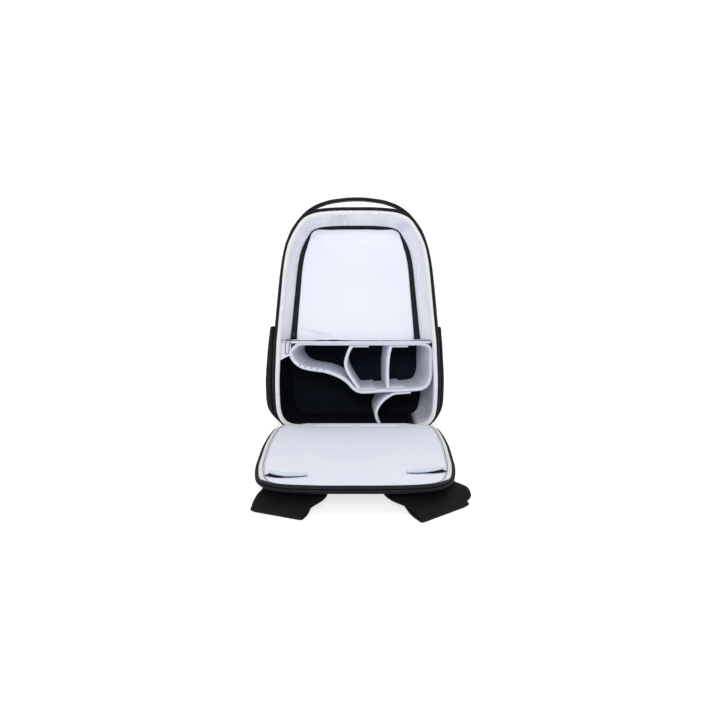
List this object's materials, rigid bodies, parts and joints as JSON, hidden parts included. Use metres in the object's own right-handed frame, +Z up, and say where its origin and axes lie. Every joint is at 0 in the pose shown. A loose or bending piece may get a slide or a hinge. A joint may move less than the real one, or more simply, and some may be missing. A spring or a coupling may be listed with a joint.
{
  "type": "camera backpack",
  "caption": "Upright camera backpack opened flat at the back: full-height panel laid forward, padded dividers, zipped upper compartment, side pockets, grab handle and folded shoulder straps",
  "frame": {"origin": "middle of the body's flat base, on the floor", "axes": "+Z up; +Y from the opening towards the front of the bag; +X to the right seen from the opening, where the back panel lies towards -Y"},
  "size_m": [0.3698, 0.6517, 0.4592],
  "materials": {
    "black_shell": "matt black woven nylon",
    "pale_lining": "pale lavender-grey brushed lining",
    "warm_binding": "warm grey woven binding tape",
    "zip_black": "dark zip tape with a coated coil",
    "navy_lining": "very dark navy brushed lining",
    "divider_pale": "pale grey-blue brushed padding",
    "strap_charcoal": "charcoal webbing and strap cloth with a slight sheen",
    "slider_metal": "black painted metal"
  },
  "bodies": {
    "root": {"shell": "black_shell", "lining_walls": "pale_lining", "rim_binding": "warm_binding", "main_zip_body": "zip_black", "upper_surround": "pale_lining", "u_zip_tape": "zip_black", "upper_panel": "pale_lining", "compartment_floor": "pale_lining", "cell_back": "navy_lining", "loop_divider": "divider_pale", "divider_left": "divider_pale", "divider_right": "divider_pale", "divider_lower_right": "divider_pale", "side_pocket_left": "black_shell", "side_pocket_right": "black_shell", "grab_handle": "strap_charcoal", "flap_board": "black_shell", "flap_lining": "pale_lining", "flap_binding": "warm_binding", "main_zip_flap": "zip_black", "corner_garter_left": "divider_pale", "corner_garter_right": "divider_pale", "hinge_strip": "black_shell", "shoulder_strap_left": "strap_charcoal", "shoulder_strap_right": "strap_charcoal", "strap_webbing_left": "strap_charcoal", "strap_webbing_right": "strap_charcoal", "u_zip_slider": "slider_metal", "u_zip_pull": "zip_black"}
  },
  "joints": []
}
